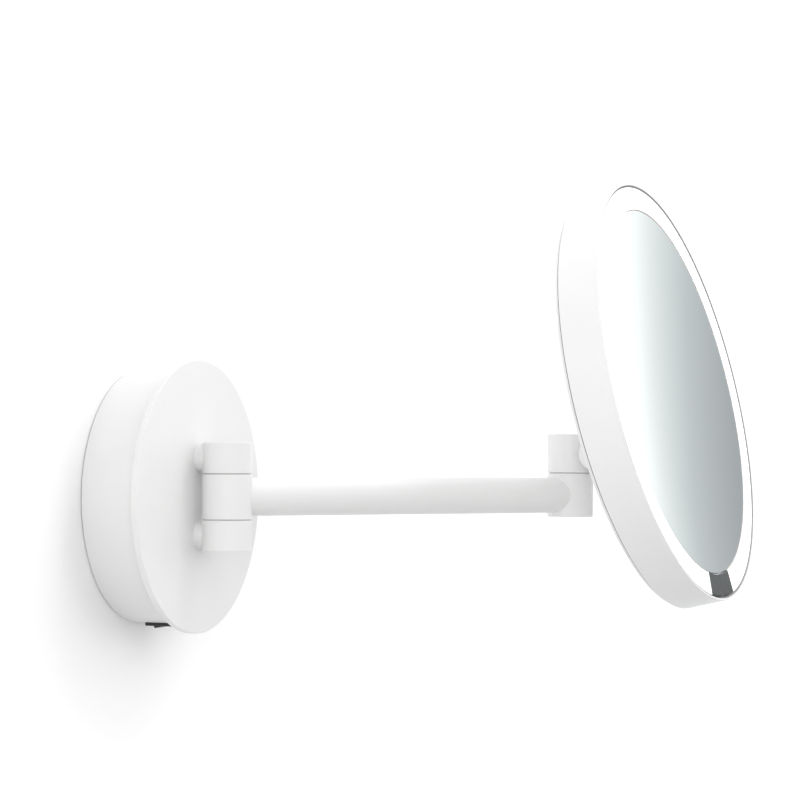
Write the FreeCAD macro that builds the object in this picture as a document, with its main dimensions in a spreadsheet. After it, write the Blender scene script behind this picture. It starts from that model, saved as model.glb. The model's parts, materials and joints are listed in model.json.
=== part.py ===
import FreeCAD, Part
import Sketcher
import math
import os
from FreeCAD import Vector as V, Rotation, Placement

# Extendable shaving mirror for a wall: a round base with a rocker switch, a
# fork hinge, one tubular arm, a second swivel, a tilt hinge and a round
# lighted mirror head.
#
# Row frame, millimetres: the wall is the plane Y = 0, the room is on the -Y
# side, X runs along the wall to the right and Z is up.  The origin is the
# centre of the wall bracket's back face.

doc = FreeCAD.newDocument("ShavingMirror")

# ---------------------------------------------------------------- dimensions
DIMS = [
    # wall base
    ("plate_dia", 128.0), ("plate_thick", 3.0), ("plate_round", 0.5),
    ("drum_dia", 119.0), ("drum_wall", 2.0), ("drum_depth", 27.5),
    ("drum_flange_dia", 100.0), ("drum_flange_thick", 2.0),
    ("bracket_dia", 112.0), ("bracket_thick", 2.0),
    ("wall_hole_dia", 5.5), ("wall_hole_dx", 84.0), ("wall_hole_dz", 40.0),
    ("tab_wide", 14.0), ("tab_deep", 14.0), ("tab_angle", 50.0), ("tab_screw_out", 9.0),
    ("inlet_dia", 10.0), ("inlet_hole_dia", 16.0), ("inlet_drop", 14.0), ("inlet_long", 5.0),
    ("plate_screw_ring", 107.0),
    ("driver_long", 48.0), ("driver_tall", 34.0), ("driver_deep", 18.0), ("driver_up", 8.0),
    # rocker switch under the drum
    ("switch_from_wall", 16.0), ("bezel_long", 20.0), ("bezel_wide", 15.0),
    ("bezel_out", 60.7), ("switch_hole_long", 18.0), ("switch_hole_wide", 13.2),
    ("rocker_window_long", 15.6), ("rocker_window_wide", 10.0),
    ("rocker_long", 14.4), ("rocker_wide", 9.6), ("rocker_pivot_out", 57.0),
    ("rocker_facet", 6.0), ("trunnion_dia", 2.0),
    # hinges
    ("hinge_out", 44.5), ("knuckle_dia", 23.2), ("lug_low", 10.9), ("lug_high", 25.3),
    ("stub_dia", 13.8), ("stub_level", 18.1),
    ("pin_dia", 10.0), ("pin_hole_dia", 6.0), ("run_clear", 0.05),
    ("lug_screw_dia", 4.0), ("lug_screw_level", 15.9), ("lug_screw_level_two", 20.9),
    ("lead_dia", 2.4), ("lead_level_base", 21.6), ("lead_level_arm", 3.5),
    ("inner_half", 10.5), ("washer_thick", 0.3), ("washer_dia", 21.6),
    # arm
    ("arm_long", 210.0), ("arm_angle", 59.77), ("tube_dia", 18.0), ("tube_bore", 15.0),
    ("spigot_dia", 14.8), ("spigot_end", 24.0), ("spigot_bore", 10.0),
    ("outer_low", 11.0), ("outer_high", 11.05), ("swivel_low", 11.45), ("swivel_high", 31.0),
    ("cavity_dia", 16.4),
    # tilt hinge
    ("tilt_forward", 16.6), ("tilt_up", 21.0), ("barrel_dia", 16.6), ("barrel_long", 23.2),
    ("tongue_thick", 7.0), ("tongue_dia", 16.0), ("slot_wide", 8.0), ("slot_dia", 17.0),
    ("saddle_dia", 17.4), ("tilt_pin_dia", 5.0), ("tilt_lead_drop", 5.4),
    ("stem_dia", 14.0), ("yoke_flange_dia", 38.0), ("yoke_flange_thick", 3.0),
    # head
    ("head_dia", 215.0), ("head_thick", 20.5), ("head_tilt", 13.1),
    ("tilt_to_front", 47.4), ("tilt_below", 21.9),
    ("rim_wall", 1.2), ("seam_gap", 0.8), ("ring_recess", 0.5),
    ("ring_thick", 2.4), ("mirror_dia", 187.4), ("mirror_thick", 3.0), ("mirror_curve", 900.0),
    ("mirror_recess", 0.8), ("mirror_bevel", 0.5),
    ("cover_dia", 211.6), ("cover_thick", 1.8), ("carrier_level", 9.2), ("carrier_thick", 1.5),
    ("boss_ring", 176.0), ("window_angle", 20.2), ("window_pocket_angle", 20.5),
    ("led_ring", 199.2),
]
sheet = doc.addObject("Spreadsheet::Sheet", "Dims")
for row, (alias, number) in enumerate(DIMS, start=1):
    sheet.set("A%d" % row, alias)
    sheet.set("B%d" % row, str(number))
    sheet.setAlias("B%d" % row, alias)
doc.recompute()


class Q:
    """A size that is both a number and the sheet expression that gives it."""

    def __init__(self, text, value, fixed=False):
        self.text, self.value, self.fixed = text, float(value), fixed

    def _with(self, other, sign, value, swap=False):
        other = q(other)
        a, b = (other, self) if swap else (self, other)
        return Q("(%s %s %s)" % (a.text, sign, b.text), value(a.value, b.value), a.fixed and b.fixed)

    def __add__(self, o):
        return self._with(o, "+", lambda a, b: a + b)

    def __radd__(self, o):
        return self._with(o, "+", lambda a, b: a + b, True)

    def __sub__(self, o):
        return self._with(o, "-", lambda a, b: a - b)

    def __rsub__(self, o):
        return self._with(o, "-", lambda a, b: a - b, True)

    def __mul__(self, o):
        return self._with(o, "*", lambda a, b: a * b)

    def __rmul__(self, o):
        return self._with(o, "*", lambda a, b: a * b, True)

    def __truediv__(self, o):
        return self._with(o, "/", lambda a, b: a / b)

    def __neg__(self):
        return Q("(0 - %s)" % self.text, -self.value, self.fixed)


def q(x):
    return x if isinstance(x, Q) else Q("%.6f" % x if x >= 0 else "(0 - %.6f)" % -x, x, True)


def qsin(x):
    x = q(x)
    return Q("sin(%s)" % x.text, math.sin(math.radians(x.value)), x.fixed)


def qcos(x):
    x = q(x)
    return Q("cos(%s)" % x.text, math.cos(math.radians(x.value)), x.fixed)


D = {alias: Q("Dims.%s" % alias, number) for alias, number in DIMS}


def bind(obj, prop, x):
    x = q(x)
    if x.fixed:
        setattr(obj, prop, x.value)
    else:
        setattr(obj, prop, x.value)
        obj.setExpression(prop, x.text)


AXES = {"z": Rotation(), "x": Rotation(V(0, 1, 0), 90), "y": Rotation(V(1, 0, 0), -90),
        "-z": Rotation(V(1, 0, 0), 180), "-x": Rotation(V(0, 1, 0), -90), "-y": Rotation(V(1, 0, 0), 90)}


def locate(obj, at, rotation=None):
    at = [q(c) for c in at]
    obj.Placement = Placement(V(*[c.value for c in at]), rotation or Rotation())
    for c, key in zip(at, "xyz"):
        if not c.fixed:
            obj.setExpression("Placement.Base.%s" % key, c.text)
    return obj


counter = [0]


def fresh(kind, stem):
    counter[0] += 1
    return doc.addObject(kind, "%s_%d" % (stem, counter[0]))


def cyl(r, height, at=(0, 0, 0), axis="z", angle=None, rotation=None):
    o = fresh("Part::Cylinder", "Cyl")
    bind(o, "Radius", r)
    bind(o, "Height", height)
    if angle is not None:
        bind(o, "Angle", angle)
    return locate(o, at, rotation or AXES[axis])


def cone(r1, r2, height, at=(0, 0, 0), axis="z"):
    o = fresh("Part::Cone", "Cone")
    bind(o, "Radius1", r1)
    bind(o, "Radius2", r2)
    bind(o, "Height", height)
    return locate(o, at, AXES[axis])


def box(x0, x1, y0, y1, z0, z1):
    o = fresh("Part::Box", "Box")
    bind(o, "Length", q(x1) - q(x0))
    bind(o, "Width", q(y1) - q(y0))
    bind(o, "Height", q(z1) - q(z0))
    return locate(o, (x0, y0, z0))


def ball(r, at):
    o = fresh("Part::Sphere", "Ball")
    bind(o, "Radius", r)
    return locate(o, at)


def hexagon(r, height, at=(0, 0, 0), axis="z"):
    o = fresh("Part::Prism", "Hex")
    o.Polygon = 6
    bind(o, "Circumradius", r)
    bind(o, "Height", height)
    return locate(o, at, AXES[axis])


def fuse(*parts):
    if len(parts) == 1:
        return parts[0]
    o = fresh("Part::MultiFuse", "Fuse")
    o.Shapes = list(parts)
    o.Refine = True
    return o


def cut(base, *tools):
    o = fresh("Part::Cut", "Cut")
    o.Base = base
    o.Tool = tools[0] if len(tools) == 1 else fuse(*tools)
    o.Refine = True
    return o


def common(a, b):
    o = fresh("Part::Common", "Common")
    o.Base, o.Tool = a, b
    return o


def group(*parts):
    o = fresh("Part::Compound", "Group")
    o.Links = list(parts)
    return o


def ring_edges(shape, radius, level, tol=0.02):
    """Numbers of the full circles of one radius at one height about local Z."""
    found = []
    for i, e in enumerate(shape.Edges, start=1):
        if e.Degenerated:
            continue
        c = e.Curve
        if isinstance(c, Part.Circle) and abs(c.Radius - radius) < tol and abs(c.Center.z - level) < tol \
                and abs(c.Center.x) < tol and abs(c.Center.y) < tol:
            found.append(i)
    return found


def lathe(points, rounds=()):
    """A turned solid: a closed (radius, height) profile revolved about Z."""
    body = fresh("PartDesign::Body", "Turned")
    sk = body.newObject("Sketcher::SketchObject", "%s_profile" % body.Name)
    plane = [f for f in body.Origin.OriginFeatures if f.Role == "XZ_Plane"][0]
    sk.AttachmentSupport = [(plane, "")]
    sk.MapMode = "FlatFace"
    pts = [(q(r), q(z)) for r, z in points]
    n = len(pts)
    for i in range(n):
        a, b = pts[i], pts[(i + 1) % n]
        sk.addGeometry(Part.LineSegment(V(a[0].value, a[1].value, 0), V(b[0].value, b[1].value, 0)), False)
    for i in range(n):
        sk.addConstraint(Sketcher.Constraint("Coincident", i, 2, (i + 1) % n, 1))
    for i, (r, z) in enumerate(pts):
        for c, word, axis in ((r, "DistanceX", -2), (z, "DistanceY", -1)):
            if abs(c.value) < 1e-9:
                sk.addConstraint(Sketcher.Constraint("PointOnObject", i, 1, axis))
            else:
                k = sk.addConstraint(Sketcher.Constraint(word, -1, 1, i, 1, c.value))
                if not c.fixed:
                    sk.setExpression("Constraints[%d]" % k, c.text)
    doc.recompute()
    rev = body.newObject("PartDesign::Revolution", "%s_turn" % body.Name)
    rev.Profile = sk
    rev.ReferenceAxis = (sk, ["V_Axis"])
    rev.Angle = 360
    doc.recompute()
    tip = rev
    for r, z, size in rounds:
        edges = ring_edges(tip.Shape, q(r).value, q(z).value)
        if not edges:
            raise RuntimeError("no edge at r %.3f z %.3f" % (q(r).value, q(z).value))
        f = body.newObject("PartDesign::Fillet", "%s_round" % body.Name)
        f.Base = (tip, ["Edge%d" % k for k in edges])
        bind(f, "Radius", size)
        doc.recompute()
        tip = f
    body.Tip = tip
    return body


def soften(obj, pick, size, chamfer=False):
    """Round or chamfer the edges of obj that pick(edge) accepts."""
    doc.recompute()
    numbers = [i for i, e in enumerate(obj.Shape.Edges, start=1) if not e.Degenerated and pick(e)]
    if not numbers:
        raise RuntimeError("no edge to soften on " + obj.Name)
    o = fresh("Part::Chamfer" if chamfer else "Part::Fillet", "Soft")
    o.Base = obj
    o.Edges = [(k, size, size) for k in numbers]
    return o


def circle_at(radius, centre, tol=0.03):
    def pick(e):
        c = e.Curve
        return isinstance(c, Part.Circle) and abs(c.Radius - radius) < tol and (c.Center - V(*centre)).Length < tol
    return pick


def any_of(*tests):
    return lambda e: any(t(e) for t in tests)


def tube_path(points, radius, bends):
    """A round lead: straight runs joined by tangent arcs."""
    pts = [V(*p) for p in points]
    edges = []
    start = pts[0]
    for i in range(1, len(pts) - 1):
        a = (pts[i - 1] - pts[i]).normalize()
        b = (pts[i + 1] - pts[i]).normalize()
        turn = math.pi - a.getAngle(b)
        back = bends[i - 1] * math.tan(turn / 2)
        p1, p2 = pts[i] + a * back, pts[i] + b * back
        half = (a + b).normalize()
        mid = pts[i] + half * (bends[i - 1] / math.cos(turn / 2) - bends[i - 1])
        if (p1 - start).Length > 1e-6:
            edges.append(Part.LineSegment(start, p1).toShape())
        edges.append(Part.Arc(p1, mid, p2).toShape())
        start = p2
    edges.append(Part.LineSegment(start, pts[-1]).toShape())
    path = Part.Wire(edges)
    first = (pts[1] - pts[0]).normalize()
    ring = Part.Wire([Part.Circle(pts[0], first, radius).toShape()])
    solid = path.makePipeShell([ring], True, True)
    want = math.pi * radius * radius * path.Length
    if abs(solid.Volume - want) > 0.01 * want:
        raise RuntimeError("lead volume %.1f, expected %.1f" % (solid.Volume, want))
    return solid


# ---------------------------------------------------------------- local frames
# wall  : x right, y up, z out from the wall
# fork  : row axes, origin on the fork's hinge axis
# arm   : x along the arm, z up, origin on the fork's hinge axis
# swivel: row axes, origin on the swivel axis at the arm's level
# head  : x right, y up in the mirror's plane, z towards the user, origin at
#         the centre of the head's back plane
ZERO = q(0.0)
kx = D["arm_long"] * qsin(D["arm_angle"])
ky = -D["hinge_out"] - D["arm_long"] * qcos(D["arm_angle"])
back_off = D["tilt_to_front"] - D["head_thick"]
hy = ky - D["tilt_forward"] - back_off * qcos(D["head_tilt"]) + D["tilt_below"] * qsin(D["head_tilt"])
hz = D["tilt_up"] + back_off * qsin(D["head_tilt"]) + D["tilt_below"] * qcos(D["head_tilt"])
FRAMES = {
    "wall": ((ZERO, ZERO, ZERO), V(1, 0, 0), q(90.0)),
    "fork": ((ZERO, -D["hinge_out"], ZERO), V(0, 0, 1), q(0.0)),
    "arm": ((ZERO, -D["hinge_out"], ZERO), V(0, 0, 1), D["arm_angle"] - 90.0),
    "swivel": ((kx, ky, ZERO), V(0, 0, 1), q(0.0)),
    "head": ((kx, hy, hz), V(1, 0, 0), 90.0 - D["head_tilt"]),
}
NODES = {}


def node(name, obj, frame):
    """Names a sub-part and puts it in its place in the row frame."""
    at, axis, angle = FRAMES[frame]
    obj.Label = name
    obj.Placement = Placement(V(*[c.value for c in at]), Rotation(axis, angle.value))
    for c, key in zip(at, "xyz"):
        if not c.fixed:
            obj.setExpression("Placement.Base.%s" % key, c.text)
    if not angle.fixed:
        obj.setExpression("Placement.Rotation.Angle", angle.text)
    NODES[name] = obj
    return obj


def shaped(name, shape, frame):
    o = fresh("Part::Feature", "Shaped")
    o.Shape = shape
    return node(name, o, frame)


def screw(r, length, head_r, head_len, drive_r, flat=True):
    """A screw along -Z with the top of its head at z = 0 and a hex drive."""
    if flat:
        head = cone(r, head_r, head_len, (0, 0, -head_len))
    else:
        head = cyl(head_r, head_len, (0, 0, -head_len))
    shank = cyl(r, length - head_len + 0.01, (0, 0, -length))
    depth = head_len * (1.0 if flat else 0.6)
    return cut(fuse(head, shank), hexagon(drive_r, depth + 1, (0, 0, -depth)))


def move(obj, at, rotation=None):
    obj.Placement = Placement(V(*at), rotation or Rotation())
    return obj


def half(name):
    return D[name] / 2


# ---------------------------------------------------------------- wall base
N = {alias: number for alias, number in DIMS}      # plain numbers for positions
R_pl, R_dr = half("plate_dia"), half("drum_dia")
clear = D["run_clear"]

bt = D["bracket_thick"]
disc = cyl(half("bracket_dia"), bt)
angles = []
for a in (N["tab_angle"], -N["tab_angle"], 180.0):
    # a small angle piece, welded to the bracket, that the drum is screwed to or hooks on
    rot = Rotation(V(0, 0, 1), a)
    upright = box(0, bt, 0, D["tab_wide"], 0, D["tab_deep"] - bt - 0.02)
    foot = box(-8, bt, 0, D["tab_wide"], 0, 1.5)
    piece = fuse(upright, foot)
    if a != 180.0:
        piece = cut(piece, cyl(2.05, 10.0, (-4, D["tab_wide"] / 2, D["tab_screw_out"] - bt - 0.02), "x"))
    at = V(N["bracket_dia"] / 2 - N["bracket_thick"] - 0.5, -N["tab_wide"] / 2, N["bracket_thick"] + 0.02)
    angles.append(move(piece, rot.multVec(at), rot))
node("housing_brackets", group(*angles), "wall")
holes = [cyl(half("wall_hole_dia"), 6, (sx * D["wall_hole_dx"] / 2, sy * D["wall_hole_dz"] / 2, -2))
         for sx in (-1, 1) for sy in (-1, 1)]
holes.append(cyl(half("inlet_hole_dia"), 6, (0, -D["inlet_drop"], -2)))
holes += [cyl(1.6, 6, (sx * 28, D["driver_up"] + D["driver_tall"] / 2, 0.4)) for sx in (-1, 1)]
node("wall_bracket", cut(disc, *holes), "wall")

grommet = lathe([(half("inlet_dia"), 0), (half("inlet_hole_dia") - 0.1, 0), (half("inlet_hole_dia") - 0.1, bt + 0.05),
                 (half("inlet_hole_dia") + 2, bt + 0.05), (half("inlet_hole_dia") + 2, bt + 1.2),
                 (half("inlet_hole_dia") - 1, D["inlet_long"]), (half("inlet_dia"), D["inlet_long"])])
holder = group(grommet)
grommet.Placement = Placement(V(0, -N["inlet_drop"], 0), Rotation())
node("inlet_grommet", holder, "wall")

drum = lathe([(R_dr - D["drum_wall"], 0), (R_dr, 0), (R_dr, D["drum_depth"]), (half("drum_flange_dia"), D["drum_depth"]),
              (half("drum_flange_dia"), D["drum_depth"] - D["drum_flange_thick"]),
              (R_dr - D["drum_wall"], D["drum_depth"] - D["drum_flange_thick"])], [(R_dr, 0, 0.4)])
drum_cuts = []
for a in (N["tab_angle"], -N["tab_angle"]):
    rot = Rotation(V(0, 0, 1), a)
    c = cyl(2.15, 8.0)
    c.Placement = Placement(rot.multVec(V(54, 0, N["tab_screw_out"])), rot.multiply(AXES["x"]))
    k = cone(2.15, 3.95, 1.8)
    k.Placement = Placement(rot.multVec(V(N["drum_dia"] / 2 - 1.8, 0, N["tab_screw_out"])), rot.multiply(AXES["x"]))
    k2 = cyl(3.95, 2.0)
    k2.Placement = Placement(rot.multVec(V(N["drum_dia"] / 2 - 0.001, 0, N["tab_screw_out"])), rot.multiply(AXES["x"]))
    drum_cuts += [c, k, k2]
sw = D["switch_from_wall"]
drum_cuts.append(box(-half("switch_hole_wide"), half("switch_hole_wide"), -66, -50,
                     sw - half("switch_hole_long"), sw + half("switch_hole_long")))
for k in range(4):
    a = math.radians(45 + 90 * k)
    drum_cuts.append(cyl(1.6, 6, (half("plate_screw_ring") * math.cos(a), half("plate_screw_ring") * math.sin(a),
                                  D["drum_depth"] - 4)))
node("base_drum", cut(drum, *drum_cuts), "wall")

hs = []
for a in (N["tab_angle"], -N["tab_angle"]):
    rot = Rotation(V(0, 0, 1), a)
    s = screw(2.0, 9.0, 3.4, 1.5, 1.3)
    hs.append(move(s, rot.multVec(V(N["drum_dia"] / 2 - 0.35, 0, N["tab_screw_out"])), rot.multiply(AXES["x"])))
node("housing_screws", group(*hs), "wall")

zp0 = D["drum_depth"]
zp1 = D["drum_depth"] + D["plate_thick"]
plate = lathe([(0, zp0), (R_pl, zp0), (R_pl, zp1), (0, zp1)],
              [(R_pl, zp0, D["plate_round"]), (R_pl, zp1, D["plate_round"])])
plate_cuts = [cyl(2.15, 6, (0, y, N["drum_depth"] - 1)) for y in
              (D["lug_screw_level"], D["lug_screw_level_two"], -D["lug_screw_level"])]
plate_cuts.append(cyl(1.8, 6, (0, -D["lead_level_base"], N["drum_depth"] - 1)))
for k in range(4):
    a = math.radians(45 + 90 * k)
    plate_cuts.append(cyl(1.3, 3.2, (half("plate_screw_ring") * math.cos(a), half("plate_screw_ring") * math.sin(a),
                                     D["drum_depth"] - 1)))
node("front_plate", cut(plate, *plate_cuts), "wall")

ps = []
for k in range(4):
    a = math.radians(45 + 90 * k)
    s = screw(1.25, 6.0, 2.7, 2.0, 1.3, flat=False)
    ps.append(move(s, (N["plate_screw_ring"] / 2 * math.cos(a), N["plate_screw_ring"] / 2 * math.sin(a),
                       N["drum_depth"] - N["drum_flange_thick"] - 2.0), Rotation(V(1, 0, 0), 180)))
node("plate_screws", group(*ps), "wall")

dy0, dy1 = D["driver_up"], D["driver_up"] + D["driver_tall"]
body = box(-half("driver_long"), half("driver_long"), dy0, dy1, bt + 1, bt + 1 + D["driver_deep"])
body = soften(body, lambda e: True, 1.2)
ears = box(-32, 32, dy0 + 10, dy1 - 10, bt + 0.05, bt + 2.5)
ears = cut(ears, *[cyl(1.7, 8, (sx * 28, (dy0 + dy1) / 2, 1)) for sx in (-1, 1)])
node("led_driver", fuse(body, ears), "wall")
node("driver_screws", group(*[move(screw(1.5, 6.0, 2.8, 2.0, 1.3, flat=False),
                                   (sx * 28, N["driver_up"] + N["driver_tall"] / 2, N["bracket_thick"] + 4.5))
                              for sx in (-1, 1)]), "wall")

block = box(-30, -12, -20, -8, bt + 0.05, 13)
block = cut(block, *([cyl(1.6, 6, (x, -14, 9)) for x in (-27, -21, -15)]
                     + [cyl(1.4, 4, (x, -21, 8), "y") for x in (-25, -21, -17)]))
node("terminal_block", block, "wall")

# rocker switch, set in the bottom of the drum
bez = box(-half("bezel_wide"), half("bezel_wide"), -D["bezel_out"], -57, sw - half("bezel_long"), sw + half("bezel_long"))
bez = soften(bez, lambda e: all(abs(v.Y + N["bezel_out"]) < 0.01 for v in e.Vertexes), 0.5)
bez = cut(bez, cyl(R_dr + 0.05, 40, (0, 0, -5)))
core = box(-6.4, 6.4, -60, -46, sw - 8.7, sw + 8.7)
blades = [box(-2.4, 2.4, -46.5, -39, sw + dz - 0.4, sw + dz + 0.4) for dz in (-5.5, 0, 5.5)]
shell = fuse(bez, core, *blades)
win = box(-half("rocker_window_wide"), half("rocker_window_wide"), -63, -51,
          sw - half("rocker_window_long"), sw + half("rocker_window_long"))
trun = cyl(half("trunnion_dia") + clear, 11.6, (-5.8, -D["rocker_pivot_out"], sw), "x")
node("switch_housing", cut(shell, win, trun), "wall")

# the rocker is drawn level, then rocked by its facet angle into its rest side
fa = N["rocker_facet"]
hl = N["rocker_long"] / 2
rise = hl * math.tan(math.radians(fa))
prof = [(-hl, 3.4 + rise), (0, 3.4), (hl, 3.4 + rise), (hl - 0.3, -0.5), (2.2, -3.2), (-2.2, -3.2), (-hl + 0.3, -0.5)]
piv = V(0, -N["rocker_pivot_out"], N["switch_from_wall"])


def rock(u, o):
    c, s = math.cos(math.radians(fa)), math.sin(math.radians(fa))
    return V(-N["rocker_wide"] / 2, piv.y - (o * c - u * s), piv.z + (u * c + o * s))


wire = Part.makePolygon([rock(u, o) for u, o in prof] + [rock(*prof[0])])
rocker = Part.Face(wire).extrude(V(N["rocker_wide"], 0, 0))
top_edges = [e for e in rocker.Edges if all(-v.Y - N["rocker_pivot_out"] > 2.4 for v in e.Vertexes)]
rocker = rocker.makeFillet(0.35, top_edges)
rocker = rocker.fuse(Part.makeCylinder(N["trunnion_dia"] / 2, 11.2, V(-5.6, piv.y, piv.z), V(1, 0, 0))).removeSplitter()
shaped("switch_rocker", rocker, "wall")

# mains leads inside the drum, terminal block to switch and driver
mains = [tube_path([(-25, -20.1, 8), (-25, -29, 8), (0, -29, 10.5), (0, -38.9, 10.5)], 1.2, [4, 4]),
         tube_path([(0, -38.9, 21.5), (0, -30.5, 21.5), (13, -30.5, 17), (13, 7.8, 17)], 1.2, [4, 4]),
         tube_path([(-21, -7.9, 6.5), (-21, 7.9, 6.5)], 1.2, [])]
shaped("mains_leads", Part.makeCompound(mains), "wall")

# low-voltage lead: driver, through the plate and the lower lug, up into the pin
lb, ho = N["lead_level_base"], N["hinge_out"]
shaped("lead_base", tube_path([(0, 7.8, 14), (0, -lb, 14), (0, -lb, ho), (0, -8, ho)], N["lead_dia"] / 2, [8, 3]), "wall")

# ---------------------------------------------------------------- fork hinge
Rk = half("knuckle_dia")
stub_to = D["hinge_out"] - D["drum_depth"] - D["plate_thick"]
lug_tall = D["lug_high"] - D["lug_low"]
Rp = half("pin_dia")


def lug(sign):
    z0 = D["lug_low"] if sign > 0 else -D["lug_high"]
    barrel = cyl(Rk, lug_tall, (0, 0, z0))
    barrel = soften(barrel, lambda e: isinstance(e.Curve, Part.Circle), 0.4)
    stub = cyl(half("stub_dia"), stub_to, (0, 0, sign * D["stub_level"]), "y")
    return fuse(barrel, stub)


upper = cut(lug(1), cyl(Rp + clear, 10.7, (0, 0, D["lug_low"] - 0.1)),
            cyl(half("lug_screw_dia") + 0.05, 10, (0, stub_to - 8, D["lug_screw_level"]), "y"),
            cyl(half("lug_screw_dia") + 0.05, 10, (0, stub_to - 8, D["lug_screw_level_two"]), "y"))
node("upper_lug", upper, "fork")
lower = cut(lug(-1), cyl(Rp + clear, 6.8, (0, 0, -D["lug_low"] - 6.7)),
            cyl(4.2, 7, (0, 0, -23.6)),
            cyl(half("lug_screw_dia") + 0.05, 10, (0, stub_to - 8, -D["lug_screw_level"]), "y"),
            cyl(1.7, stub_to + 2, (0, 0, -D["lead_level_base"]), "y"))
node("lower_lug", lower, "fork")
ls = [move(screw(N["lug_screw_dia"] / 2, 14.0, 3.5, 3.4, 1.7, flat=False), (0, y, N["drum_depth"] - 3.4),
           Rotation(V(1, 0, 0), 180)) for y in
      (N["lug_screw_level"], -N["lug_screw_level"])]
node("lug_screws", group(*ls), "wall")
node("lug_dowel", group(cyl(half("lug_screw_dia"), 10.0, (0, D["lug_screw_level_two"], D["drum_depth"] + 0.2))), "wall")

pin = cut(cyl(Rp, 38.4, (0, 0, -17.4)), cyl(half("pin_hole_dia"), 50, (0, 0, -25)),
          cyl(1.6, 6, (1.5, 0, -D["lead_level_arm"]), "x"))
node("hinge_pin", pin, "arm")
wash = []
for z0 in (D["inner_half"] + 0.05, -D["inner_half"] - 0.05 - D["washer_thick"]):
    wash.append(cut(cyl(half("washer_dia"), D["washer_thick"], (0, 0, z0)), cyl(Rp + 0.1, 3, (0, 0, z0 - 1))))
node("hinge_washers", group(*wash), "arm")

# ---------------------------------------------------------------- arm
ih = D["inner_half"]
kn = soften(cyl(Rk, ih * 2, (0, 0, -ih)), lambda e: isinstance(e.Curve, Part.Circle), 0.4)
kn = fuse(kn, cyl(half("spigot_dia"), D["spigot_end"], (0, 0, 0), "x"))
kn = cut(kn, cyl(Rp + 0.01, 40, (0, 0, -20)), cyl(half("spigot_bore"), 30, (8.0, 0, 0), "x"),
         cyl(1.8, 8, (3, 0, -D["lead_level_arm"]), "x"), cyl(2.05, 8, (18, 0, -12)))
node("inner_knuckle", kn, "arm")

tube = cut(cyl(half("tube_dia"), D["arm_long"], (0, 0, 0), "x"),
           cyl(half("tube_bore"), D["arm_long"] + 20, (-10, 0, 0), "x"),
           cyl(Rk + 0.02, 40, (0, 0, -20)), cyl(Rk + 0.02, 40, (D["arm_long"], 0, -20)),
           cyl(2.05, 8, (18, 0, -12)), cyl(2.05, 8, (D["arm_long"] - 18, 0, -12)))
node("arm_tube", tube, "arm")

La = D["arm_long"]
kn = cyl(Rk, D["outer_low"] + D["outer_high"], (La, 0, -D["outer_low"]))
kn = soften(kn, lambda e: isinstance(e.Curve, Part.Circle), 0.4)
kn = fuse(kn, cyl(half("spigot_dia"), D["spigot_end"], (La, 0, 0), "-x"))
kn = cut(kn, cyl(Rp + clear, 30, (La, 0, 0)), cyl(half("cavity_dia"), D["outer_low"] + 5.1, (La, 0, -D["outer_low"] - 0.1)),
         cyl(half("spigot_bore"), 30, (La - 7, 0, 0), "-x"), cyl(2.05, 8, (La - 18, 0, -12)))
node("outer_knuckle", kn, "arm")

cap = lathe([(0, 0), (half("cavity_dia") - 0.05, 0), (half("cavity_dia") - 0.05, 3.6), (half("cavity_dia") - 1.2, 3.6),
             (half("cavity_dia") - 1.2, 1.6), (0, 1.6)], [(half("cavity_dia") - 0.05, 0, 0.3)])
cap.Placement = Placement(V(N["arm_long"], 0, -N["outer_low"]), Rotation())
node("knuckle_cap", group(cap), "arm")

node("tube_grub_screws", group(*[cut(cyl(2.0, 3.7, (x, 0, -8.8)), hexagon(1.1, 2.4, (x, 0, -9.4)))
                                 for x in (18, La - 18)]), "arm")

ll = N["lead_level_arm"]
shaped("lead_arm", tube_path([(0, 0, -7.3), (0, 0, -ll), (N["arm_long"], 0, -ll), (N["arm_long"], 0, 0.2)],
                             N["lead_dia"] / 2, [2.5, 3.0]), "arm")

# ---------------------------------------------------------------- swivel
sp = cut(cyl(Rp, 27.3, (0, 0, -0.5)), cyl(half("pin_hole_dia"), 60, (0, 0, -20)),
         cyl(1.6, 6, (0, -1.5, D["tilt_up"] - D["tilt_lead_drop"]), "-y"))
node("swivel_pin", sp, "swivel")
node("swivel_nut", cut(hexagon(7.6, 3.2, (0, 0, 1.0)), cyl(Rp + 0.01, 10, (0, 0, -2))), "swivel")
node("swivel_spring_washer", cut(cone(7.4, 7.7, 0.6, (0, 0, 4.3)), cyl(Rp + 0.1, 5, (0, 0, 2))), "swivel")
node("swivel_washer", cut(cyl(half("washer_dia"), D["washer_thick"], (0, 0, D["outer_high"] + 0.05)),
                          cyl(Rp + 0.1, 5, (0, 0, 9))), "swivel")

ty, tz = -D["tilt_forward"], D["tilt_up"]
sk_ = cyl(Rk, D["swivel_high"] - D["swivel_low"], (0, 0, D["swivel_low"]))
sk_ = soften(sk_, lambda e: isinstance(e.Curve, Part.Circle), 0.4)
sk_ = cut(sk_, cyl(half("saddle_dia"), 40, (-20, ty, tz), "x"))
tongue = fuse(box(-half("tongue_thick"), half("tongue_thick"), ty, -4, tz - half("tongue_dia"), tz + half("tongue_dia")),
              cyl(half("tongue_dia"), D["tongue_thick"], (-half("tongue_thick"), ty, tz), "x"))
sk_ = cut(fuse(sk_, tongue), cyl(Rp + 0.01, 30, (0, 0, -3)),
          cyl(half("tilt_pin_dia") + clear, 20, (-10, ty, tz), "x"),
          cyl(1.6, 30, (0, -3, tz - D["tilt_lead_drop"]), "-y"))
node("swivel_knuckle", sk_, "swivel")
tl = N["tilt_up"] - N["tilt_lead_drop"]
shaped("lead_swivel", tube_path([(0, 0, 0.8), (0, 0, tl), (0, -21.0, tl)], N["lead_dia"] / 2, [2.8]), "swivel")
tw = []
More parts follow.
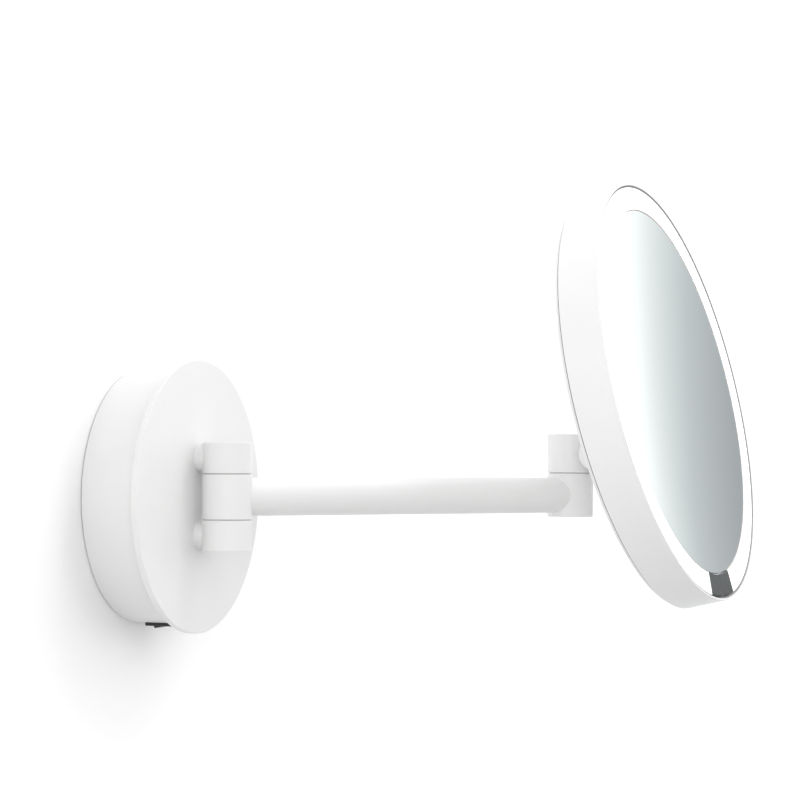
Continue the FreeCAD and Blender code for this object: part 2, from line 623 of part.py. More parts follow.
for sx in (1, -1):
    x0 = N["tongue_thick"] / 2 + 0.05 if sx > 0 else -N["tongue_thick"] / 2 - 0.05 - 0.4
    tw.append(cut(cyl(6.5, 0.4, (x0, ty, tz), "x"), cyl(half("tilt_pin_dia") + 0.1, 4, (x0 - 1, ty, tz), "x")))
node("tilt_washers", group(*tw), "swivel")

# ---------------------------------------------------------------- tilt yoke
by = -D["tilt_below"]
bz = D["head_thick"] - D["tilt_to_front"]
barrel = cyl(half("barrel_dia"), D["barrel_long"], (-half("barrel_long"), by, bz), "x")
barrel = soften(barrel, lambda e: isinstance(e.Curve, Part.Circle), 0.4)
flange = cyl(half("yoke_flange_dia"), D["yoke_flange_thick"], (0, by, -D["yoke_flange_thick"]))
flange = soften(flange, circle_at(N["yoke_flange_dia"] / 2, (0, -N["tilt_below"], -N["yoke_flange_thick"])), 0.8)
stem = cyl(half("stem_dia"), -bz - 1.0, (0, by, bz))
yoke = fuse(barrel, stem, flange)
yoke = cut(yoke, cyl(half("slot_dia"), D["slot_wide"], (-half("slot_wide"), by, bz), "x"),
           cyl(half("tilt_pin_dia") + clear, 30, (-9.5, by, bz), "x"),
           cyl(4.3, 10, (8.4, by, bz), "x"),
           cyl(1.8, 40, (0, by, bz)))
yoke = soften(yoke, circle_at(N["stem_dia"] / 2, (0, -N["tilt_below"], -N["yoke_flange_thick"])), 2.5)
ych = []
for k in range(3):
    a = math.radians(90 + 120 * k)
    x, y = 13.6 * math.cos(a), -N["tilt_below"] + 13.6 * math.sin(a)
    ych += [cyl(1.65, 10, (x, y, -6)), cyl(3.2, 6, (x, y, -1.4), "-z")]
node("tilt_yoke", cut(yoke, *ych), "head")
ys = []
for k in range(3):
    a = math.radians(90 + 120 * k)
    ys.append(move(screw(1.5, 6.4, 2.9, 1.5, 1.2, flat=False),
                   (13.6 * math.cos(a), -N["tilt_below"] + 13.6 * math.sin(a), -2.9), Rotation(V(1, 0, 0), 180)))
node("yoke_screws", group(*ys), "head")
ts = cut(fuse(cyl(half("tilt_pin_dia"), 18.2, (-9.3, by, bz), "x"), cyl(4.1, 2.6, (8.5, by, bz), "x")),
         hexagon(1.8, 4, (9.3, by, bz), "x"))
node("tilt_screw", ts, "head")

# ---------------------------------------------------------------- head
Rh, Th = half("head_dia"), D["head_thick"]
Ri = Rh - D["rim_wall"]
ledge_in = 103.0
rim = lathe([(Rh, 0), (Rh, Th), (Ri, Th), (Ri, Th - 3.0), (ledge_in, Th - 3.0), (ledge_in, Th - 4.5), (Ri, Th - 4.5),
             (Ri, 4.4), (102.0, 4.4), (102.0, 2.9), (Ri, 2.9), (Ri, 0)],
            [(Rh, 0, 0.7), (Rh, Th, 0.4), (Ri, Th, 0.3)])
node("head_rim", rim, "head")

Ro = Ri - D["seam_gap"]
zr = Th - D["ring_recess"]
Rm = half("mirror_dia")
led = Rm - 3.1
ring = lathe([(led, 15.0), (Rm + 1.7, 15.0), (Rm + 1.7, zr - D["ring_thick"]), (Ro, zr - D["ring_thick"]), (Ro, zr),
              (Rm + 0.2, zr), (Rm + 0.2, 16.2), (led, 16.2)], [(Ro, zr, 0.4), (Rm + 0.2, zr, 0.25)])
wa = D["window_pocket_angle"]
pocket = cyl(120, 5, (0, 0, zr - 2.1), angle=wa, rotation=Rotation(V(0, 0, 1), -90 - N["window_pocket_angle"] / 2))
node("diffuser_ring", cut(ring, pocket), "head")

win = cut(cyl(Ro - 0.15, 2.05, (0, 0, zr - 2.05), angle=D["window_angle"],
              rotation=Rotation(V(0, 0, 1), -90 - N["window_angle"] / 2)), cyl(Rm + 0.35, 10, (0, 0, zr - 5)))
win = soften(win, lambda e: all(abs(v.Z - (N["head_thick"] - N["ring_recess"])) < 0.01 for v in e.Vertexes), 0.3, True)
node("sensor_window", win, "head")

sag = N["mirror_curve"] - math.sqrt(N["mirror_curve"] ** 2 - (N["mirror_dia"] / 2) ** 2)
zc = Th - D["mirror_recess"] - sag + D["mirror_curve"]
zcn = N["head_thick"] - N["mirror_recess"] - sag + N["mirror_curve"]
glass = cut(common(cyl(Rm, 20, (0, 0, 5)), ball(D["mirror_curve"] + D["mirror_thick"], (0, 0, zc))),
            ball(D["mirror_curve"], (0, 0, zc)))
glass = soften(glass, circle_at(N["mirror_dia"] / 2, (0, 0, N["head_thick"] - N["mirror_recess"]), 0.05),
               N["mirror_bevel"], True)
node("mirror_glass", glass, "head")

foam = cut(cyl(80, 8, (0, 0, 10.75)), cyl(40, 10, (0, 0, 9)))
big = ball(D["mirror_curve"] + D["mirror_thick"] + 0.05, (0, 0, zc))
node("mirror_pad", cut(foam, big), "head")

cl = D["carrier_level"]
ct = cl + D["carrier_thick"]
carrier = lathe([(0, cl), (105.7, cl), (105.7, Th - 4.6), (104.4, Th - 4.6), (104.4, ct), (94.8, ct), (94.8, 14.8),
                 (93.3, 14.8), (93.3, ct), (0, ct)])
bosses, boss_holes, cover_holes, cs = [], [], [], []
for k in range(4):
    a = math.radians(45 + 90 * k)
    x, y = half("boss_ring") * math.cos(a), half("boss_ring") * math.sin(a)
    bosses.append(cyl(3.6, cl - D["cover_thick"], (x, y, D["cover_thick"] + 0.05)))
    boss_holes.append(cyl(1.55, 7.6, (x, y, 0.5)))
    cover_holes += [cyl(1.7, 6, (x, y, -2)), cone(3.2, 1.7, 1.5, (x, y, 0)), cyl(3.2, 2, (x, y, -2))]
    cs.append(move(screw(1.5, 7.6, 2.95, 1.45, 1.1), (x.value, y.value, 0.08), Rotation(V(1, 0, 0), 180)))
node("led_carrier", cut(fuse(carrier, *bosses), *(boss_holes + [cyl(3.0, 6, (0, 60, 8))])), "head")
node("cover_screws", group(*cs), "head")

cover = lathe([(0, 0), (half("cover_dia"), 0), (half("cover_dia"), D["cover_thick"]), (0, D["cover_thick"])],
              [(half("cover_dia"), 0, 0.5)])
for k in range(3):
    a = math.radians(90 + 120 * k)
    cover_holes.append(cyl(1.65, 6, (13.6 * math.cos(a), by + 13.6 * math.sin(a), -2)))
cover_holes.append(cyl(3.0, 6, (0, by, -2)))
node("back_cover", cut(cover, *cover_holes), "head")
node("cover_seal", lathe([(102.6, D["cover_thick"] + 0.05), (105.4, D["cover_thick"] + 0.05), (105.4, 2.85), (102.6, 2.85)]), "head")

ybp = [cyl(1.55, 6, (13.6 * math.cos(math.radians(90 + 120 * k)), by + 13.6 * math.sin(math.radians(90 + 120 * k)), 0))
       for k in range(3)]
node("yoke_backing_plate", cut(cyl(19, 2.0, (0, by, D["cover_thick"] + 0.05)), cyl(3.0, 6, (0, by, 0)), *ybp), "head")

node("led_board", cut(cyl(104.0, 1.2, (0, 0, ct + 0.05)), cyl(95.2, 5, (0, 0, 9))), "head")
chips = []
cz = N["carrier_level"] + N["carrier_thick"] + 1.3
for k in range(40):
    rot = Rotation(V(0, 0, 1), 9 * k)
    b = Part.makeBox(2.8, 3.5, 0.8, V(-1.4, -1.75, 0))
    b.Placement = Placement(rot.multVec(V(N["led_ring"] / 2, 0, cz)), rot)
    chips.append(b)
shaped("led_chips", Part.makeCompound(chips), "head")

sb = cut(cyl(102.4, 1.0, (0, 0, 16.4), angle=18.0, rotation=Rotation(V(0, 0, 1), -99)), cyl(96.2, 5, (0, 0, 14)))
posts = []
for a in (-94.5, -85.5):
    posts.append(cyl(0.9, 4.6, (99.6 * math.cos(math.radians(a)), 99.6 * math.sin(math.radians(a)), 12.0)))
node("sensor_board", fuse(sb, *posts), "head")

pcb = box(-30, 30, 10, 46, 3.4, 5.0)
parts = [box(-6, 6, 10, 16, 4.9, 8.6), box(-24, -12, 22, 34, 4.9, 7.4), box(8, 15, 24, 31, 4.9, 6.2),
         cyl(4, 3.9, (22, 38, 4.9)), cyl(3, 3.9, (22, 26, 4.9))]
feet = [cyl(1.5, 1.6, (x, y, 1.85)) for x in (-26, 26) for y in (14, 42)]
node("control_board", fuse(pcb, *(parts + feet)), "head")

hb = N["tilt_below"]
shaped("lead_head", tube_path([(0, -hb, -17.5), (0, -hb, 5.6), (0, 9.8, 5.6)], N["lead_dia"] / 2, [3.0]), "head")
shaped("lead_ring", tube_path([(0, 46.1, 6.5), (0, 60, 6.5), (0, 60, 10.6)], 0.6, [3.0]), "head")

# ---------------------------------------------------------------- write
doc.recompute()
bad = [o.Name + ":" + ",".join(o.State) for o in doc.Objects if "Invalid" in o.State or "Error" in o.State]
if bad:
    raise RuntimeError("failed objects: " + "; ".join(bad))
os.makedirs("parts", exist_ok=True)
for name, obj in NODES.items():
    shape = obj.Shape
    if shape.isNull() or not shape.isValid() or not shape.Solids:
        raise RuntimeError("bad shape: " + name)
for name, obj in NODES.items():
    obj.Shape.exportStep("parts/%s.step" % name)
for name, obj in NODES.items():
    b = obj.Shape.BoundBox
    print("%-22s solids %2d  vol %9.1f  x %7.1f %7.1f  y %7.1f %7.1f  z %7.1f %7.1f" % (
        name, len(obj.Shape.Solids), obj.Shape.Volume, b.XMin, b.XMax, b.YMin, b.YMax, b.ZMin, b.ZMax))
print(len(NODES), "nodes")
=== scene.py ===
import json
import math
import bpy
import bmesh
from mathutils import Matrix, Vector


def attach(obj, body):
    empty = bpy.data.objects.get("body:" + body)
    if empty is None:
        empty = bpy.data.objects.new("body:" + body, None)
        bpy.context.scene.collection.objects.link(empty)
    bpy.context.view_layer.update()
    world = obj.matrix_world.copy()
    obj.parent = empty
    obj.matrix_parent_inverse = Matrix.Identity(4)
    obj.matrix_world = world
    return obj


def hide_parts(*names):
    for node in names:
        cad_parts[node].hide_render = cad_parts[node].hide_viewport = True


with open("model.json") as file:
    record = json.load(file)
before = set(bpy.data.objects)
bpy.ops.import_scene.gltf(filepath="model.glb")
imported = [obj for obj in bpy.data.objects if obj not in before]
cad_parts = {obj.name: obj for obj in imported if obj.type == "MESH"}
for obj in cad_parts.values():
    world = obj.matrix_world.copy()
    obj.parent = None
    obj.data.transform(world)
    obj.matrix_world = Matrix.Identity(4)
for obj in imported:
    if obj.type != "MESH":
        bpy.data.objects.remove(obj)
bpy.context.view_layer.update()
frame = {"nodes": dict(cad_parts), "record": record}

scene = bpy.context.scene
nodes = frame["nodes"]
record = frame["record"]
slot_of = {s["node"]: s["material_slot"] for s in record["subparts"]}


# ------------------------------------------------------------------ camera
# A long lens, level with the arm and well round to the side of the wall plate.
cam_data = bpy.data.cameras.new("camera")
cam = bpy.data.objects.new("camera", cam_data)
scene.collection.objects.link(cam)
right = Vector((0.38370715, -0.92343956, 0.00531034))
up = Vector((-0.01966912, -0.00242342, 0.99980361))
ahead = Vector((0.92324534, 0.38373624, 0.01909313))
m = Matrix((right, up, -ahead)).transposed().to_4x4()
m.translation = Vector((-1.23021866, -0.64280114, 0.01947333))
cam.matrix_world = m
cam_data.sensor_width = 36.0
cam_data.lens = 2928.87473 * 36.0 / 800.0
cam_data.clip_start, cam_data.clip_end = 0.05, 60.0
scene.camera = cam


# ------------------------------------------------------------------ materials
def node_of(nt, kind, **values):
    n = nt.nodes.new(kind)
    for k, v in values.items():
        if k.startswith("in_"):
            n.inputs[k[3:].replace("_", " ")].default_value = v
        else:
            setattr(n, k, v)
    return n


def fresh(name):
    mat = bpy.data.materials.new(name)
    mat.use_nodes = True
    nt = mat.node_tree
    nt.nodes.clear()
    out = nt.nodes.new("ShaderNodeOutputMaterial")
    bsdf = nt.nodes.new("ShaderNodeBsdfPrincipled")
    nt.links.new(bsdf.outputs["BSDF"], out.inputs["Surface"])
    coord = nt.nodes.new("ShaderNodeTexCoord")
    return mat, nt, bsdf, coord


def noise(nt, coord, scale, detail=3.0, rough=0.5, stretch=None):
    n = node_of(nt, "ShaderNodeTexNoise", in_Scale=scale, in_Detail=detail, in_Roughness=rough)
    if stretch:
        mp = node_of(nt, "ShaderNodeMapping")
        mp.inputs["Scale"].default_value = stretch
        nt.links.new(coord.outputs["Object"], mp.inputs["Vector"])
        nt.links.new(mp.outputs["Vector"], n.inputs["Vector"])
    else:
        nt.links.new(coord.outputs["Object"], n.inputs["Vector"])
    return n


def remap(nt, source, lo, hi, a=0.0, b=1.0):
    r = node_of(nt, "ShaderNodeMapRange", in_To_Min=lo, in_To_Max=hi, in_From_Min=a, in_From_Max=b)
    nt.links.new(source, r.inputs["Value"])
    return r.outputs["Result"]


def mix_color(nt, fac, a, b):
    mx = nt.nodes.new("ShaderNodeMix")
    mx.data_type = "RGBA"
    nt.links.new(fac, mx.inputs[0])
    for sock, v in ((mx.inputs[6], a), (mx.inputs[7], b)):
        if isinstance(v, (tuple, list)):
            sock.default_value = (*v, 1.0)
        else:
            nt.links.new(v, sock)
    return mx.outputs[2]


def add_bump(nt, bsdf, height, strength, distance):
    b = node_of(nt, "ShaderNodeBump", in_Strength=strength, in_Distance=distance)
    nt.links.new(height, b.inputs["Height"])
    nt.links.new(b.outputs["Normal"], bsdf.inputs["Normal"])
    return b


def coated(name, color, shade, rough, grain, bump, spec=0.5, coat=0.0, rough_span=0.05):
    """Paint or moulded plastic: a broad, faint tone change, a fine grain and an orange-peel skin."""
    mat, nt, bsdf, co = fresh(name)
    broad = noise(nt, co, 14.0, 4.0)
    fine = noise(nt, co, grain, 2.0)
    skin = noise(nt, co, grain * 2.7, 3.0, 0.6)
    tone = remap(nt, broad.outputs["Fac"], 0.0, 1.0, 0.35, 0.65)
    nt.links.new(mix_color(nt, tone, shade, color), bsdf.inputs["Base Color"])
    nt.links.new(remap(nt, fine.outputs["Fac"], rough - rough_span, rough + rough_span, 0.3, 0.7), bsdf.inputs["Roughness"])
    add = node_of(nt, "ShaderNodeMath", operation="ADD")
    nt.links.new(fine.outputs["Fac"], add.inputs[0])
    nt.links.new(skin.outputs["Fac"], add.inputs[1])
    add_bump(nt, bsdf, add.outputs[0], bump, 0.0001)
    bsdf.inputs["Specular IOR Level"].default_value = spec
    bsdf.inputs["Coat Weight"].default_value = coat
    bsdf.inputs["Coat Roughness"].default_value = 0.2
    return mat, nt, bsdf, co


def metal(name, color, rough, stretch, bump=0.1):
    mat, nt, bsdf, co = fresh(name)
    bsdf.inputs["Metallic"].default_value = 1.0
    grain = noise(nt, co, 900.0, 3.0, 0.55, stretch)
    blotch = noise(nt, co, 60.0, 3.0)
    dark = tuple(c * 0.86 for c in color)
    nt.links.new(mix_color(nt, remap(nt, blotch.outputs["Fac"], 0.0, 1.0, 0.3, 0.7), dark, color), bsdf.inputs["Base Color"])
    nt.links.new(remap(nt, grain.outputs["Fac"], rough * 0.75, rough * 1.3, 0.3, 0.7), bsdf.inputs["Roughness"])
    add_bump(nt, bsdf, grain.outputs["Fac"], bump, 0.00005)
    return mat


M = {}
M["white_paint"] = coated("white_paint", (0.785, 0.785, 0.782), (0.765, 0.765, 0.763), 0.46, 700.0, 0.16)[0]
M["white_plastic"] = coated("white_plastic", (0.80, 0.80, 0.798), (0.78, 0.78, 0.778), 0.36, 1100.0, 0.08)[0]
M["driver_case"] = coated("driver_case", (0.80, 0.81, 0.82), (0.77, 0.78, 0.79), 0.5, 900.0, 0.2)[0]
M["black_plastic"] = coated("black_plastic", (0.018, 0.018, 0.019), (0.013, 0.013, 0.014), 0.38, 1500.0, 0.12)[0]
M["washer_plastic"] = coated("washer_plastic", (0.66, 0.66, 0.655), (0.62, 0.62, 0.615), 0.45, 1200.0, 0.1)[0]
M["cable_jacket"] = coated("cable_jacket", (0.05, 0.05, 0.052), (0.035, 0.035, 0.036), 0.55, 1600.0, 0.2)[0]
M["gasket"] = coated("gasket", (0.16, 0.16, 0.162), (0.13, 0.13, 0.132), 0.62, 1400.0, 0.25)[0]
M["foam"] = coated("foam", (0.20, 0.20, 0.21), (0.15, 0.15, 0.155), 0.9, 1800.0, 0.8)[0]
M["board"] = coated("board", (0.02, 0.14, 0.06), (0.015, 0.11, 0.045), 0.35, 2200.0, 0.15, coat=0.3)[0]
M["zinc_steel"] = metal("zinc_steel", (0.63, 0.64, 0.66), 0.34, (1.0, 1.0, 1.0))
M["pin_steel"] = metal("pin_steel", (0.58, 0.585, 0.6), 0.22, (1.0, 1.0, 9.0))
M["aluminium"] = metal("aluminium", (0.8, 0.81, 0.82), 0.3, (1.0, 6.0, 1.0))

# lit opal ring: a soft glow of its own over a milky, finely frosted skin
mat, nt, bsdf, co = coated("opal", (0.93, 0.93, 0.925), (0.92, 0.92, 0.915), 0.34, 1500.0, 0.05)
bsdf.inputs["Subsurface Weight"].default_value = 0.25
bsdf.inputs["Subsurface Scale"].default_value = 0.002
bsdf.inputs["Emission Color"].default_value = (1.0, 0.995, 0.985, 1.0)
facing = node_of(nt, "ShaderNodeVectorMath", operation="DOT_PRODUCT")
nt.links.new(co.outputs["Normal"], facing.inputs[0])
facing.inputs[1].default_value = (0.0, -0.974, 0.2267)
nt.links.new(remap(nt, facing.outputs["Value"], 0.0, 0.6, 0.85, 0.97), bsdf.inputs["Emission Strength"])
M["opal"] = mat

mat, nt, bsdf, co = coated("led", (0.9, 0.8, 0.4), (0.85, 0.74, 0.34), 0.3, 2000.0, 0.05)
bsdf.inputs["Emission Color"].default_value = (1.0, 0.96, 0.88, 1.0)
bsdf.inputs["Emission Strength"].default_value = 2.0
M["led"] = mat

# silvered glass
mat, nt, bsdf, co = fresh("mirror_glass")
bsdf.inputs["Metallic"].default_value = 1.0
wipe = noise(nt, co, 22.0, 4.0, 0.55)
nt.links.new(mix_color(nt, remap(nt, wipe.outputs["Fac"], 0.0, 1.0, 0.35, 0.65), (0.90, 0.925, 0.92), (0.915, 0.935, 0.93)),
             bsdf.inputs["Base Color"])
nt.links.new(remap(nt, wipe.outputs["Fac"], 0.012, 0.03, 0.35, 0.65), bsdf.inputs["Roughness"])
M["mirror_glass"] = mat

# dark touch window: a shade darker along its own edge
HEAD = Vector((0.181444, -0.18807, 0.04843))
mat, nt, bsdf, co = coated("touch_window", (0.055, 0.057, 0.057), (0.046, 0.048, 0.048), 0.3, 2000.0, 0.03)
local = node_of(nt, "ShaderNodeVectorMath", operation="SUBTRACT")
nt.links.new(co.outputs["Object"], local.inputs[0])
local.inputs[1].default_value = HEAD
parts = []
for axis in ((1.0, 0.0, 0.0), (0.0, 0.22677, 0.97395)):
    dot = node_of(nt, "ShaderNodeVectorMath", operation="DOT_PRODUCT")
    nt.links.new(local.outputs["Vector"], dot.inputs[0])
    dot.inputs[1].default_value = axis
    parts.append(dot.outputs["Value"])


def math_node(nt, op, a, b=None):
    n = node_of(nt, "ShaderNodeMath", operation=op)
    for sock, v in zip(n.inputs, (a, b)):
        if v is None:
            continue
        if isinstance(v, (int, float)):
            sock.default_value = v
        else:
            nt.links.new(v, sock)
    return n.outputs[0]


side = math_node(nt, "ABSOLUTE", parts[0])
radius = math_node(nt, "SQRT", math_node(nt, "ADD", math_node(nt, "POWER", side, 2.0), math_node(nt, "POWER", parts[1], 2.0)))
slant = math_node(nt, "ARCTAN2", side, math_node(nt, "ABSOLUTE", parts[1]))
near_side = remap(nt, math_node(nt, "MULTIPLY", slant, radius), 0.0, 1.0, 0.0169, 0.0178)
near_rim = remap(nt, radius, 0.0, 1.0, 0.1040, 0.1048)
near_mirror = remap(nt, radius, 1.0, 0.0, 0.0943, 0.0951)
border = math_node(nt, "MAXIMUM", near_side, math_node(nt, "MAXIMUM", near_rim, near_mirror))
body_color = bsdf.inputs["Base Color"].links[0].from_socket
nt.links.new(mix_color(nt, border, body_color, (0.028, 0.029, 0.029)), bsdf.inputs["Base Color"])
M["touch_window"] = mat

for n, o in nodes.items():
    o.data.materials.clear()
    o.data.materials.append(M[slot_of[n]])


# ------------------------------------------------------------------ finer pieces
HX = Vector((1.0, 0.0, 0.0))
HY = Vector((0.0, 0.22677, 0.97395))
HZ = Vector((0.0, -0.97395, 0.22677))


def turned(name, profile, segments, sharp, mat, body, standing_for=()):
    """A turned piece on the head's axis from (radius, height) pairs; rings listed in sharp keep a crisp corner."""
    verts, faces, rings = [], [], []
    for r, z in profile:
        if r < 1e-9:
            rings.append([len(verts)])
            verts.append(HEAD + HZ * z)
            continue
        ring = []
        for k in range(segments):
            t = 2.0 * math.pi * k / segments
            ring.append(len(verts))
            verts.append(HEAD + HX * (r * math.cos(t)) + HY * (r * math.sin(t)) + HZ * z)
        rings.append(ring)
    for lower, upper in zip(rings, rings[1:]):
        for k in range(segments):
            j = (k + 1) % segments
            if len(lower) == 1:
                faces.append((lower[0], upper[j], upper[k]))
            elif len(upper) == 1:
                faces.append((lower[k], lower[j], upper[0]))
            else:
                faces.append((lower[k], lower[j], upper[j], upper[k]))
    me = bpy.data.meshes.new(name)
    me.from_pydata([tuple(v) for v in verts], [], faces)
    me.update()
    bm = bmesh.new()
    bm.from_mesh(me)
    bmesh.ops.recalc_face_normals(bm, faces=bm.faces)
    crisp = {i for n in sharp for i in rings[n]}
    for e in bm.edges:
        e.smooth = not (e.verts[0].index in crisp and e.verts[1].index in crisp and e.calc_length() < 0.004
                        and abs((e.verts[0].co - e.verts[1].co).dot(HZ)) < 1e-7)
    for f in bm.faces:
        f.smooth = True
    bm.to_mesh(me)
    bm.free()
    me.materials.append(mat)
    o = bpy.data.objects.new(name, me)
    scene.collection.objects.link(o)
    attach(o, body)
    if standing_for:
        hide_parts(*standing_for)
    return o


# the magnifying glass itself: a finely divided bowl, so that what it mirrors stays free of facets
R_FRONT, R_BACK, R_EDGE, Z_EDGE, BEVEL = 0.900, 0.903, 0.0937, 0.0197, 0.0005
z_ball = Z_EDGE - (R_FRONT - math.sqrt(R_FRONT ** 2 - R_EDGE ** 2)) + R_FRONT


def front_z(r):
    return z_ball - math.sqrt(R_FRONT ** 2 - r * r)


def back_z(r):
    return z_ball - math.sqrt(R_BACK ** 2 - r * r)


r_lip = R_EDGE - BEVEL
profile = [(0.0, front_z(0.0))] + [(r_lip * (i / 44.0) ** 0.9, front_z(r_lip * (i / 44.0) ** 0.9)) for i in range(1, 45)]
lip_at = len(profile) - 1
for i in range(1, 5):
    t = math.pi / 2 * i / 4
    profile.append((r_lip + BEVEL * math.sin(t), front_z(r_lip) - BEVEL * (1 - math.cos(t))))
profile.append((R_EDGE, back_z(R_EDGE) + 0.0002))
profile.append((R_EDGE - 0.0002, back_z(R_EDGE - 0.0002)))
back_at = len(profile) - 1
profile += [(R_EDGE * (1 - i / 16.0), back_z(R_EDGE * (1 - i / 16.0))) for i in range(1, 16)] + [(0.0, back_z(0.0))]
turned("mirror_bowl", profile, 360, (lip_at, back_at), M["mirror_glass"], "head", ("mirror_glass",))


# the rear cover's rolled edge, and a dark seal between it and the rim that also paints the shadow line of that gap
# (painted shade)
turned("rear_lip", [(0.1036, 0.0), (0.1036, -0.0013), (0.1041, -0.0021), (0.1048, -0.0024), (0.1054, -0.0021), (0.1058, -0.0013),
                    (0.1058, 0.0), (0.1036, 0.0)], 240, (0, 6), M["white_plastic"], "head")
turned("rear_seal_painted_shade_line", [(0.1057, 0.00005), (0.1057, -0.00055), (0.1060, -0.00065), (0.1064, -0.0005), (0.1066, 0.00005)], 240, (0, 4),
       M["gasket"], "head")
# painted shade: a grey ring set in the gap between the lit ring and the rim, darkening the gap as if it lay in shadow
turned("gap_painted_shade_ring", [(0.10553, 0.0187), (0.10553, 0.0193), (0.10618, 0.0193), (0.10618, 0.02042), (0.10627, 0.02042), (0.10627, 0.0187),
                    (0.10553, 0.0187)], 240, (0, 6),
       coated("gap_painted_shade", (0.34, 0.34, 0.342), (0.30, 0.30, 0.302), 0.55, 1400.0, 0.2)[0], "head")

# ------------------------------------------------------------------ stage
def one_sided(name, color, rough, spec, painted_light=None):
    """A matt backdrop that shows from its front only, optionally with painted light (an emission glow) on it."""
    mat, nt, bsdf, co = fresh(name)
    tone = noise(nt, co, 1.5, 2.0)
    nt.links.new(mix_color(nt, tone.outputs["Fac"], tuple(c * 0.985 for c in color), color), bsdf.inputs["Base Color"])
    bsdf.inputs["Roughness"].default_value = rough
    bsdf.inputs["Specular IOR Level"].default_value = spec
    # painted light: the backdrop emits light of its own, varying over its face
    if painted_light:
        bsdf.inputs["Emission Color"].default_value = (1, 1, 1, 1)
        nt.links.new(painted_light_map(nt, co, *painted_light), bsdf.inputs["Emission Strength"])
    out = [n for n in nt.nodes if n.type == "OUTPUT_MATERIAL"][0]
    clear = nt.nodes.new("ShaderNodeBsdfTransparent")
    mx = nt.nodes.new("ShaderNodeMixShader")
    geo = nt.nodes.new("ShaderNodeNewGeometry")
    nt.links.new(geo.outputs["Backfacing"], mx.inputs[0])
    nt.links.new(bsdf.outputs["BSDF"], mx.inputs[1])
    nt.links.new(clear.outputs["BSDF"], mx.inputs[2])
    nt.links.new(mx.outputs["Shader"], out.inputs["Surface"])
    return mat


def sheet_plane(name, corners, mat):
    me = bpy.data.meshes.new(name)
    me.from_pydata(corners, [], [(0, 1, 2, 3)])
    me.materials.append(mat)
    o = bpy.data.objects.new(name, me)
    scene.collection.objects.link(o)
    return o


def painted_light_map(nt, coord, centre, near, far, low, high):
    """Painted light: a glow on the wall that grows with the distance from a centre, so the wall is darker near the
    drum and brighter further out.
    """
    dist = node_of(nt, "ShaderNodeVectorMath", operation="DISTANCE")
    nt.links.new(coord.outputs["Object"], dist.inputs[0])
    dist.inputs[1].default_value = centre
    return remap(nt, dist.outputs["Value"], near, far, low, high)


# the wall carries painted light: no glow next to the drum, rising further out, so the wall reads white while the shade
# beside the drum stays
wall_mat = one_sided("wall", (0.87, 0.87, 0.87), 0.9, 0.1, painted_light=((-0.02, 0.0, -0.03), 0.0, 0.12, 0.0, 0.17))
# the wall has a round opening hidden behind the drum, so that light reaches the bracket's back in views from behind
turns = sorted([math.atan2(z, x) for x, z in ((-6, -0.6), (6, -0.6), (6, 5), (-6, 5))] + [math.tau * i / 48 - math.pi for i in range(48)])
inner = [(0.0575 * math.cos(t), 0.0004, 0.0575 * math.sin(t)) for t in turns]
reach = [min(6 / max(abs(math.cos(t)), 1e-9), (5 if math.sin(t) > 0 else 0.6) / max(abs(math.sin(t)), 1e-9)) for t in turns]
outer = [(d * math.cos(t), 0.0004, d * math.sin(t)) for t, d in zip(turns, reach)]
me = bpy.data.meshes.new("wall")
me.from_pydata(inner + outer, [], [(i, len(turns) + i, len(turns) + (i + 1) % len(turns), (i + 1) % len(turns)) for i in range(len(turns))])
me.materials.append(wall_mat)
wall = bpy.data.objects.new("wall", me)
scene.collection.objects.link(wall)
floor_mat = one_sided("floor", (0.50, 0.50, 0.50), 0.9, 0.0)
sheet_plane("floor", [(-6, -6, -0.6), (6, -6, -0.6), (6, 0.0004, -0.6), (-6, 0.0004, -0.6)], floor_mat)

# a softbox card beside the head, seen in reflections only, paler towards the wall and the top
mat = bpy.data.materials.new("card")
mat.use_nodes = True
nt = mat.node_tree
nt.nodes.clear()
out = nt.nodes.new("ShaderNodeOutputMaterial")
emit = nt.nodes.new("ShaderNodeEmission")
co = nt.nodes.new("ShaderNodeTexCoord")
along = node_of(nt, "ShaderNodeVectorMath", operation="DOT_PRODUCT")
nt.links.new(co.outputs["Object"], along.inputs[0])
along.inputs[1].default_value = (0.0, -1.0, -0.4)
ramp = nt.nodes.new("ShaderNodeValToRGB")
nt.links.new(remap(nt, along.outputs["Value"], 0.0, 1.0, 0.15, 0.45), ramp.inputs["Fac"])
els = ramp.color_ramp.elements
STOPS = ((0.15, 1.30, 1.34, 1.34), (0.24, 1.14, 1.16, 1.16), (0.262, 1.02, 1.06, 1.06), (0.285, 0.86, 0.90, 0.90), (0.31, 0.72, 0.76, 0.765),
         (0.34, 0.575, 0.61, 0.62), (0.37, 0.485, 0.515, 0.53), (0.40, 0.41, 0.435, 0.45), (0.45, 0.35, 0.37, 0.385))
els[0].color, els[1].color = (*STOPS[0][1:], 1.0), (*STOPS[-1][1:], 1.0)
for at, *rgb in STOPS[1:-1]:
    els.new((at - 0.15) / 0.3).color = (*rgb, 1.0)
nt.links.new(ramp.outputs["Color"], emit.inputs["Color"])
emit.inputs["Strength"].default_value = 1.0
nt.links.new(emit.outputs["Emission"], out.inputs["Surface"])
card = sheet_plane("card", [(0.8, -1.72, -0.5), (0.8, -0.02, -0.5), (0.8, -0.02, 1.0), (0.8, -1.72, 1.0)], mat)
card.visible_camera = card.visible_diffuse = card.visible_shadow = card.visible_transmission = False

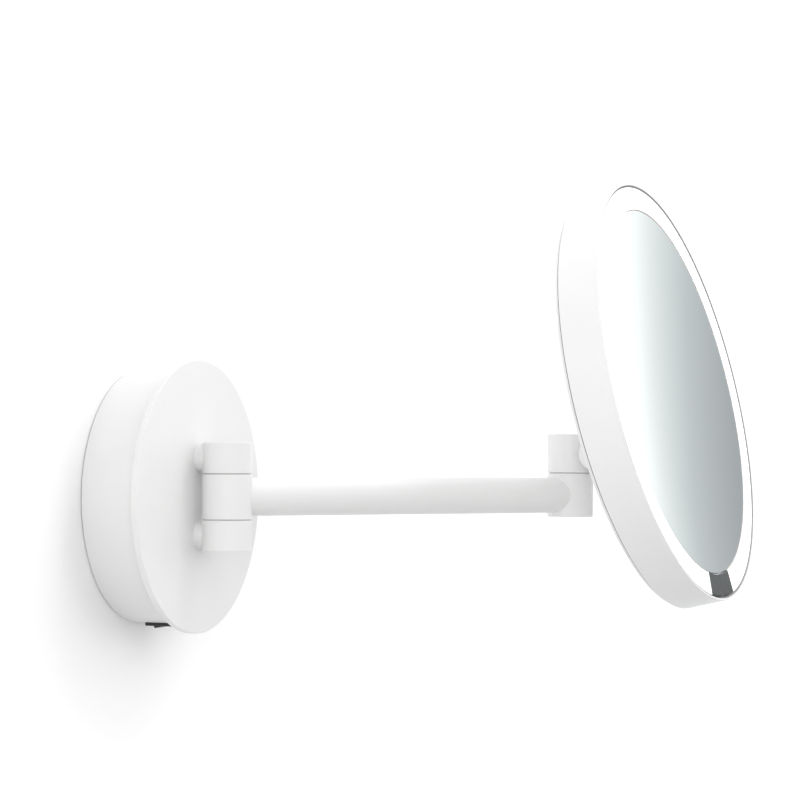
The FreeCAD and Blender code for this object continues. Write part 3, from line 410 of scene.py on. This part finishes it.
# a paler card in front, also for reflections only, so that the mirror reads as a mirror from the front
mat = bpy.data.materials.new("front_card")
mat.use_nodes = True
nt = mat.node_tree
nt.nodes.clear()
out = nt.nodes.new("ShaderNodeOutputMaterial")
emit = nt.nodes.new("ShaderNodeEmission")
co = nt.nodes.new("ShaderNodeTexCoord")
up = node_of(nt, "ShaderNodeVectorMath", operation="DOT_PRODUCT")
nt.links.new(co.outputs["Object"], up.inputs[0])
up.inputs[1].default_value = (-0.35, 0.0, 1.0)
nt.links.new(mix_color(nt, remap(nt, up.outputs["Value"], -0.6, 1.6, 0.0, 1.0), (0.30, 0.32, 0.33), (0.68, 0.70, 0.71)), emit.inputs["Color"])
emit.inputs["Strength"].default_value = 1.0
nt.links.new(emit.outputs["Emission"], out.inputs["Surface"])
card = sheet_plane("front_card", [(-1.6, -1.7, -0.6), (0.8, -1.7, -0.6), (0.8, -1.7, 1.9), (-1.6, -1.7, 1.9)], mat)
card.visible_camera = card.visible_diffuse = card.visible_shadow = card.visible_transmission = False

# ------------------------------------------------------------------ light
world = bpy.data.worlds.new("studio")
scene.world = world
world.use_nodes = True
wt = world.node_tree
wt.nodes.clear()
wo = wt.nodes.new("ShaderNodeOutputWorld")
bg = wt.nodes.new("ShaderNodeBackground")
wc = wt.nodes.new("ShaderNodeTexCoord")
# a broad studio: soft lobes of light from a few directions, darker towards the floor
LOBES = (((0.0, 0.0, 1.0), 0.50), ((-1.0, -0.15, 0.0), 2.60), ((-0.7, -0.7, 0.2), 0.66), ((0.0, -1.0, 0.2), 0.50), ((0.0, 1.0, 0.2), 1.6),
         ((0.7, -0.7, 0.2), 2.5), ((1.0, 0.0, 0.2), 2.1))
total = None
for toward, amount in LOBES:
    dot = node_of(wt, "ShaderNodeVectorMath", operation="DOT_PRODUCT")
    wt.links.new(wc.outputs["Generated"], dot.inputs[0])
    dot.inputs[1].default_value = Vector(toward).normalized()
    lobe = math_node(wt, "MULTIPLY", math_node(wt, "POWER", math_node(wt, "MAXIMUM", dot.outputs["Value"], 0.0), 3.0), amount)
    total = lobe if total is None else math_node(wt, "ADD", total, lobe)
wt.links.new(total, bg.inputs["Strength"])
wt.links.new(bg.outputs["Background"], wo.inputs["Surface"])


def area(name, at, target, size, power, color=(1, 1, 1), glossy=True):
    d = bpy.data.lights.new(name, "AREA")
    d.shape, d.size, d.size_y, d.energy, d.color = "RECTANGLE", size[0], size[1], power, color
    o = bpy.data.objects.new(name, d)
    o.location = at
    o.rotation_mode = "QUATERNION"
    o.rotation_quaternion = (Vector(target) - Vector(at)).to_track_quat("-Z", "Y")
    scene.collection.objects.link(o)
    o.visible_glossy = glossy
    return o


area("key", (0.6, -1.2, 2.0), (0.0, -0.03, 0.0), (0.4, 0.4), 5.3)
area("side", (1.27, -0.86, 2.1), (0.0, -0.03, 0.0), (0.3, 0.3), 4.7)
area("top", (2.0, -1.0, 2.4), (0.0, -0.03, 0.0), (0.5, 0.5), 1.6)

scene.view_settings.view_transform = "Standard"
scene.view_settings.look = "None"
scene.view_settings.exposure = 0.0
scene.view_settings.gamma = 1.0
